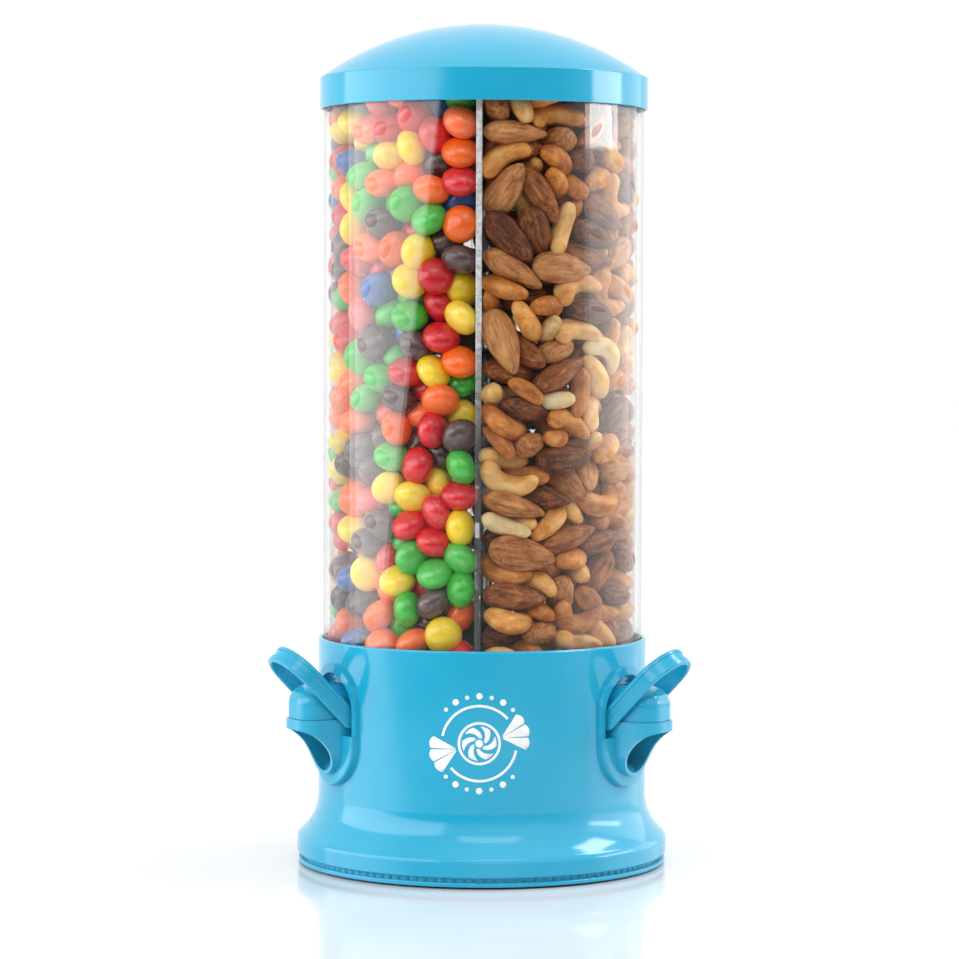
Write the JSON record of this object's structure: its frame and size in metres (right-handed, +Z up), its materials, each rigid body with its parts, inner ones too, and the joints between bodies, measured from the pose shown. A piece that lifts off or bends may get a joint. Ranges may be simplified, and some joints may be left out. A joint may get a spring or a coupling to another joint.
{
  "type": "gumball machine",
  "caption": "Tabletop sweet and nut dispenser: clear divided tube on a round base with lever spouts, domed lid and swivel foot.",
  "frame": {"origin": "on the axis of the body, in the plane it stands on", "axes": "+Z up along the body, -Y to the front, between the left and right spouts"},
  "size_m": [0.165, 0.1665, 0.334],
  "materials": {
    "shell_blue": "glossy injection-moulded, sky blue",
    "lid_blue": "glossy injection-moulded, sky blue",
    "lever_blue": "glossy injection-moulded, sky blue",
    "foot_blue": "glossy, darker in the ribbed groove",
    "clear_plastic": "clear polished styrene",
    "hopper_white": "satin white",
    "nylon_white": "natural white nylon",
    "rubber_pad": "dull black",
    "steel": "zinc-plated"
  },
  "bodies": {
    "turntable": {"turntable_foot": "foot_blue", "anti_slip_ring": "rubber_pad", "glide_ring": "nylon_white"},
    "machine": {"pivot_screw": "steel", "pivot_washer": "steel", "base_plate": "shell_blue", "base_screws": "steel", "base_shell": "shell_blue", "hopper_funnel": "hopper_white", "clear_tube": "clear_plastic", "front_divider": "clear_plastic", "right_divider": "clear_plastic", "left_divider": "clear_plastic", "centre_post": "clear_plastic", "left_bezel": "shell_blue", "left_spout": "shell_blue", "left_hood": "shell_blue", "left_return_spring": "steel", "left_screws": "steel", "right_bezel": "shell_blue", "right_spout": "shell_blue", "right_hood": "shell_blue", "right_return_spring": "steel", "right_screws": "steel", "rear_bezel": "shell_blue", "rear_spout": "shell_blue", "rear_hood": "shell_blue", "rear_return_spring": "steel", "rear_screws": "steel"},
    "lid": {"lid": "lid_blue"},
    "left_lever": {"left_lever": "lever_blue", "left_gate": "nylon_white"},
    "right_lever": {"right_lever": "lever_blue", "right_gate": "nylon_white"},
    "rear_lever": {"rear_lever": "lever_blue", "rear_gate": "nylon_white"}
  },
  "joints": [
    {"name": "swivel", "type": "hinge", "parent": "turntable", "child": "machine", "pos_m": [0, 0, 0], "axis": [0, 0, 1], "continuous": true},
    {"name": "lid_lift", "type": "slide", "parent": "machine", "child": "lid", "axis": [0, 0, 1], "range_m": [0, 0.06]},
    {"name": "left_lever_pull", "type": "hinge", "parent": "machine", "child": "left_lever", "pos_m": [-0.05612, -0.0324, 0.0613], "axis": [0.5, -0.866, 0], "range_deg": [0, 50], "stiffness_Nm_per_rad": 0.02, "springref_deg": -28.65},
    {"name": "right_lever_pull", "type": "hinge", "parent": "machine", "child": "right_lever", "pos_m": [0.05612, -0.0324, 0.0613], "axis": [0.5, 0.866, 0], "range_deg": [0, 50], "stiffness_Nm_per_rad": 0.02, "springref_deg": -28.65},
    {"name": "rear_lever_pull", "type": "hinge", "parent": "machine", "child": "rear_lever", "pos_m": [0, 0.0648, 0.0613], "axis": [-1, 0, 0], "range_deg": [0, 50], "stiffness_Nm_per_rad": 0.02, "springref_deg": -28.65}
  ]
}
